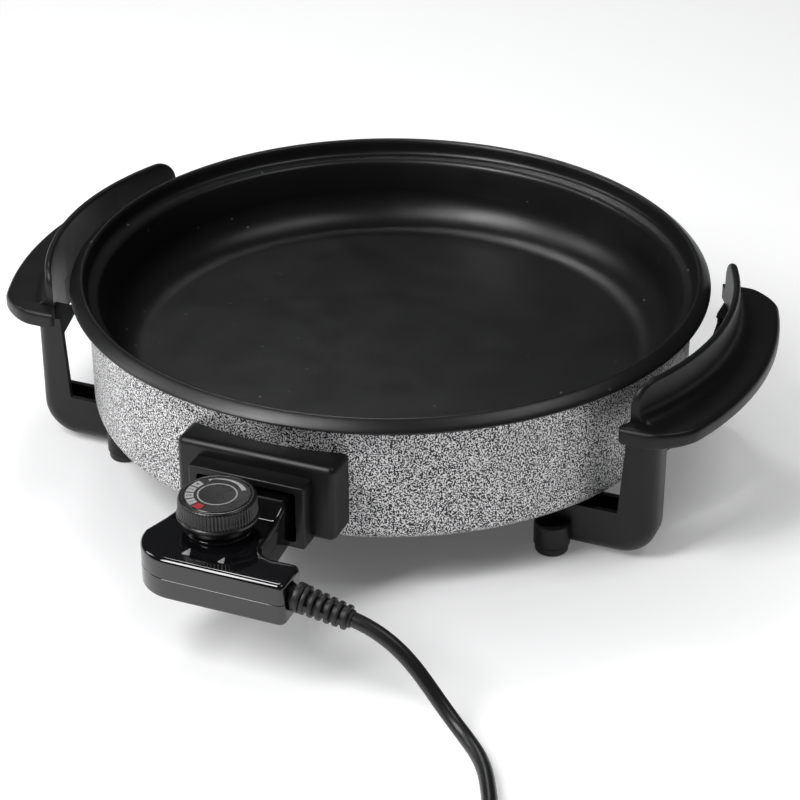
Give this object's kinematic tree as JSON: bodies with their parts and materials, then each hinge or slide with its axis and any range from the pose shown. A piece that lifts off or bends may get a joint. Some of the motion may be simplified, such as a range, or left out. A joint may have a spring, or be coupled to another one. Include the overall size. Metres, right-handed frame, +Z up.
{
  "type": "electric griddle pan",
  "caption": "Round electric griddle pan on legs with side handles and a pull-out thermostat with a rotary knob and mains cord.",
  "frame": {"origin": "on the table under the middle of the griddle with its thermostat plugged in; the pan's own axis is 46.5 mm behind it", "axes": "+Z up, -Y towards the thermostat at the front, +X towards the right handle and the cord's side"},
  "size_m": [0.5094, 0.7335, 0.1272],
  "materials": {
    "non_stick": "black non-stick coating, satin, finely sparkled",
    "hammered_paint": "grey and black hammered paint",
    "bakelite": "black bakelite, satin",
    "case_plastic": "glossy black",
    "dial_plastic": null,
    "rubber": "black, matt",
    "cord_pvc": "black round cord sheath",
    "steel": "plain",
    "element_steel": "heat-darkened",
    "brass": "plain",
    "ceramic": "unglazed steatite"
  },
  "bodies": {
    "griddle": {"pan": "non_stick", "outer_shell": "hammered_paint", "heating_element": "element_steel", "terminal_pin_left": "steel", "terminal_pin_right": "steel", "probe_guide": "element_steel", "socket_housing": "bakelite", "socket_screw_left": "steel", "socket_screw_right": "steel", "grip_left": "bakelite", "grip_right": "bakelite", "leg_front_left": "bakelite", "leg_front_right": "bakelite", "leg_rear_left": "bakelite", "leg_rear_right": "bakelite", "foot_front_left": "rubber", "foot_front_right": "rubber", "foot_rear_left": "rubber", "foot_rear_right": "rubber", "leg_screw_front_left": "steel", "leg_screw_front_right": "steel", "leg_screw_rear_left": "steel", "leg_screw_rear_right": "steel", "grip_screw_front_left": "steel", "grip_screw_front_right": "steel", "grip_screw_rear_left": "steel", "grip_screw_rear_right": "steel"},
    "thermostat": {"case_upper": "case_plastic", "case_lower": "case_plastic", "case_screw_1": "steel", "case_screw_2": "steel", "case_screw_3": "steel", "knob_bezel": "case_plastic", "contact_block": "ceramic", "contact_sleeve_left": "brass", "contact_sleeve_right": "brass", "sensor_probe": "steel", "thermostat_switch": "ceramic", "strain_relief": "rubber", "cord": "cord_pvc", "cord_coil": "cord_pvc", "plug_body": "case_plastic", "plug_pin_1": "brass", "plug_pin_2": "brass"},
    "knob": {"knob": "dial_plastic", "dial_plate": "dial_plastic", "knob_spindle": "steel"}
  },
  "joints": [
    {"name": "thermostat_pull_out", "type": "slide", "parent": "griddle", "child": "thermostat", "axis": [0, -1, 0], "range_m": [0, 0.08]},
    {"name": "knob_turn", "type": "hinge", "parent": "thermostat", "child": "knob", "pos_m": [0, -0.2138, 0.09], "axis": [0, 0, -1], "range_deg": [0, 270]}
  ]
}
